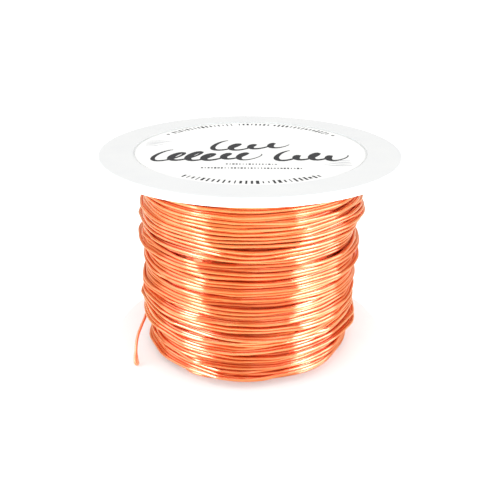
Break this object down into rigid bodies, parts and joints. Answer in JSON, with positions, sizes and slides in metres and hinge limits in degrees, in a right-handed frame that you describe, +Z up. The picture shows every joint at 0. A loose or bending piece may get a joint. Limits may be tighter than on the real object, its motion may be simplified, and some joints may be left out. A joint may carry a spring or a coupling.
{
  "type": "wire spool",
  "caption": "Small flanged plastic spool wound with bare copper wire, label over the upper hole, open hole below for a spindle, loose wire end on the lower flange.",
  "frame": {"origin": "centre of the lower flange's base, on the surface that the spool stands on", "axes": "+Z up along the spool's axis, from the lower flange to the labelled upper flange; -Y is the side that faces a viewer, with the loose wire end at the left, at -X"},
  "size_m": [0.05, 0.05, 0.0363],
  "materials": {
    "spool_plastic": "moulded white polystyrene, satin gloss",
    "label_paper": "smooth coated paper with plain grey marks",
    "bare_copper": "bright drawn copper, bare"
  },
  "bodies": {
    "root": {"lower_flange": "spool_plastic", "core_tube": "spool_plastic", "upper_flange": "spool_plastic", "top_label": "label_paper", "wire_winding": "bare_copper", "wire_start": "bare_copper", "wire_tail": "bare_copper"}
  },
  "joints": []
}
